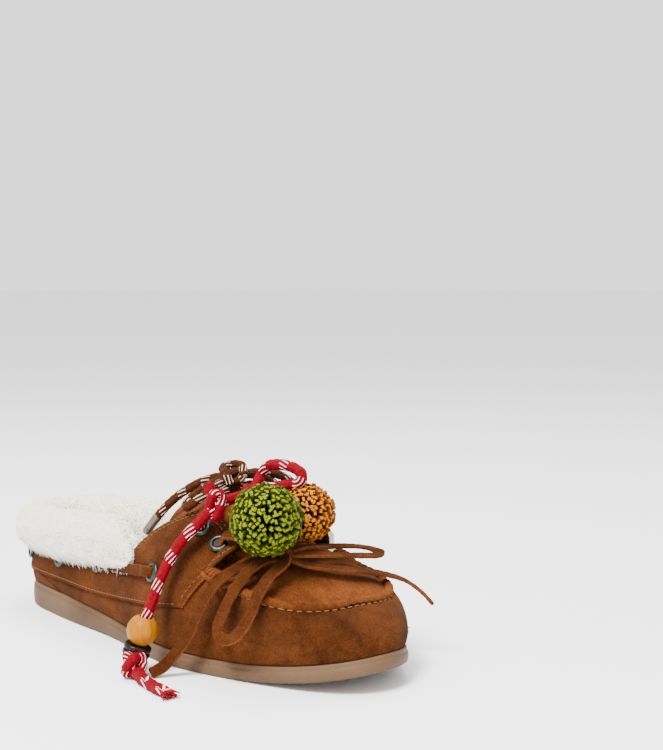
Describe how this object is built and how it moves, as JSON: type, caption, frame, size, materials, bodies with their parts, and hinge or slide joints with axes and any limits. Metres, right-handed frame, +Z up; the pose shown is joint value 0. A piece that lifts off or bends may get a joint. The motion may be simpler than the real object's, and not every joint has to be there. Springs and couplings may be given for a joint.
{
  "type": "lined slip-on shoe",
  "caption": "Moccasin-style suede slip-on for the right foot, with a fleece collar, thong and lace bows, and a beaded cord carrying two leather pompoms.",
  "frame": {"origin": "on the floor under the flat middle of the sole, half way along its length and on the line through heel and toe", "axes": "+X from heel to toe, +Y to the medial (inner) side, +Z up"},
  "size_m": [0.2663, 0.1503, 0.0933],
  "materials": {
    "suede": "napped suede, matt",
    "rubber": "matt",
    "fleece": "deep pile",
    "eyelet_metal": "satin",
    "brown_lace": "braided",
    "red_cord": "braided",
    "green_leather": "matt",
    "mustard_leather": "matt",
    "amber_wood": "varnished",
    "dark_wood": "satin",
    "horn": "polished horn look",
    "tan_wood": "carved",
    "chestnut_wood": "gloss"
  },
  "bodies": {
    "root": {"outsole": "rubber", "insole": "fleece", "upper": "suede", "tongue": "suede", "eyelet_lateral_1": "eyelet_metal", "eyelet_lateral_2": "eyelet_metal", "eyelet_lateral_3": "eyelet_metal", "eyelet_lateral_4": "eyelet_metal", "eyelet_lateral_5": "eyelet_metal", "eyelet_lateral_6": "eyelet_metal", "eyelet_medial_1": "eyelet_metal", "eyelet_medial_2": "eyelet_metal", "eyelet_medial_3": "eyelet_metal", "eyelet_medial_4": "eyelet_metal", "eyelet_medial_5": "eyelet_metal", "eyelet_medial_6": "eyelet_metal", "side_thong_lateral": "suede", "side_thong_medial": "suede", "fur_collar": "fleece", "seam_wrap_lateral": "suede", "seam_wrap_medial": "suede", "thong_knot": "suede", "thong_bar_lateral": "suede", "thong_bar_medial": "suede", "thong_loop_lateral": "suede", "thong_end_lateral": "suede", "thong_loop_medial": "suede", "thong_end_medial": "suede", "lace_bar": "brown_lace", "lace_knot": "brown_lace", "lace_end_lateral": "brown_lace", "lace_loop_lateral": "brown_lace", "lace_loop_medial": "brown_lace", "lace_end_medial": "brown_lace", "lace_lobe": "brown_lace", "amber_bead": "amber_wood", "dark_disc_1": "dark_wood", "dark_disc_2": "dark_wood", "horn_bead": "horn", "carved_bead": "tan_wood", "chestnut_bead": "chestnut_wood", "red_knot_lateral": "red_cord", "red_knot_centre": "red_cord", "red_end_knot_lateral": "red_cord", "red_end_knot_medial": "red_cord", "red_end_lateral": "red_cord", "red_stub": "red_cord", "red_bridge": "red_cord", "red_loop": "red_cord", "red_end_medial": "red_cord", "red_tail_lateral": "red_cord", "red_tail_medial": "red_cord", "green_pompom": "green_leather", "mustard_pompom": "mustard_leather"}
  },
  "joints": []
}
